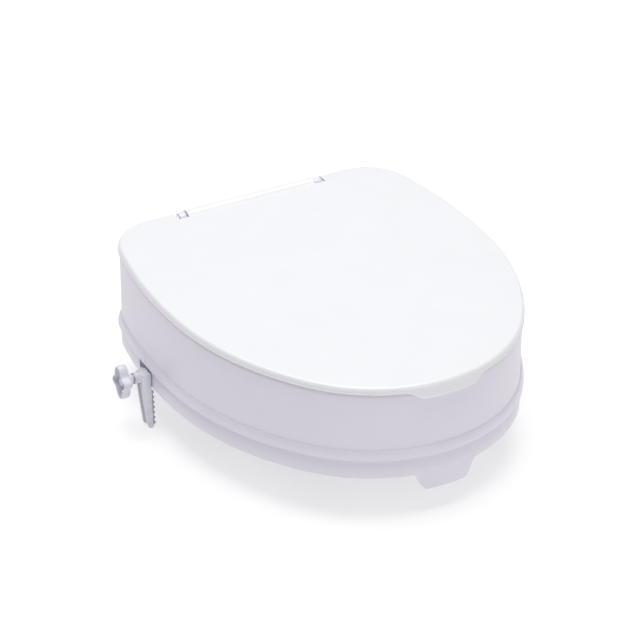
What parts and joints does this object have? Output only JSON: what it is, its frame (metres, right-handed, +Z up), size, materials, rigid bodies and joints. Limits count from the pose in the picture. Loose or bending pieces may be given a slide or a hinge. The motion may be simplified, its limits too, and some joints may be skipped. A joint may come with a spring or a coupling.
{
  "type": "raised toilet seat",
  "caption": "Raised toilet seat: moulded ring on a toilet bowl with a hinged lid, front locating lug and screw clamps with hand knobs on both sides.",
  "frame": {"origin": "centre of the footprint at the height of the clamp arms' feet, the lowest points", "axes": "+Z up, -Y to the user's front where the lug and finger tab are, +X to the right side clamp seen from the front"},
  "size_m": [0.441, 0.4187, 0.1683],
  "materials": {
    "seat_shell": "satin white moulded plastic",
    "lid_shell": "satin white moulded plastic",
    "clamp_plastic": "matte off-white moulded plastic",
    "rubber": "matte grey rubber",
    "zinc_steel": "zinc plated steel"
  },
  "bodies": {
    "seat": {"seat_body": "seat_shell", "rim_pad_1": "rubber", "rim_pad_2": "rubber", "rim_pad_3": "rubber", "rim_pad_4": "rubber", "hinge_pin_left": "clamp_plastic", "hinge_pin_right": "clamp_plastic", "clamp_nut_left": "zinc_steel", "clamp_nut_right": "zinc_steel", "nut_holder_left": "clamp_plastic", "nut_holder_right": "clamp_plastic", "holder_screw_left_1": "zinc_steel", "holder_screw_left_2": "zinc_steel", "holder_screw_right_1": "zinc_steel", "holder_screw_right_2": "zinc_steel"},
    "lid": {"lid": "lid_shell", "lid_buffer_1": "rubber", "lid_buffer_2": "rubber", "lid_buffer_3": "rubber", "lid_buffer_4": "rubber"},
    "clamp_left": {"clamp_bracket_left": "clamp_plastic", "grip_pad_left": "rubber", "knob_washer_left": "zinc_steel"},
    "knob_left": {"knob_left": "clamp_plastic", "knob_screw_left": "zinc_steel"},
    "clamp_right": {"clamp_bracket_right": "clamp_plastic", "grip_pad_right": "rubber", "knob_washer_right": "zinc_steel"},
    "knob_right": {"knob_right": "clamp_plastic", "knob_screw_right": "zinc_steel"}
  },
  "joints": [
    {"name": "lid_hinge", "type": "hinge", "parent": "seat", "child": "lid", "pos_m": [0, 0.2, 0.1603], "axis": [-1, 0, 0], "range_deg": [0, 105]},
    {"name": "clamp_slide_left", "type": "slide", "parent": "seat", "child": "clamp_left", "axis": [-1, 0, 0], "range_m": [-0.0005, 0.012]},
    {"name": "knob_turn_left", "type": "hinge", "parent": "clamp_left", "child": "knob_left", "pos_m": [-0.2049, 0.08, 0.061], "axis": [-1, 0, 0], "range_deg": [-180, 4320]},
    {"name": "clamp_slide_right", "type": "slide", "parent": "seat", "child": "clamp_right", "axis": [1, 0, 0], "range_m": [-0.0005, 0.012]},
    {"name": "knob_turn_right", "type": "hinge", "parent": "clamp_right", "child": "knob_right", "pos_m": [0.2049, 0.08, 0.061], "axis": [1, 0, 0], "range_deg": [-180, 4320]}
  ],
  "couplings": [
    {"joint": "knob_turn_left", "follows": "clamp_slide_left", "rad_per_m": 6283.2},
    {"joint": "knob_turn_right", "follows": "clamp_slide_right", "rad_per_m": 6283.2}
  ]
}
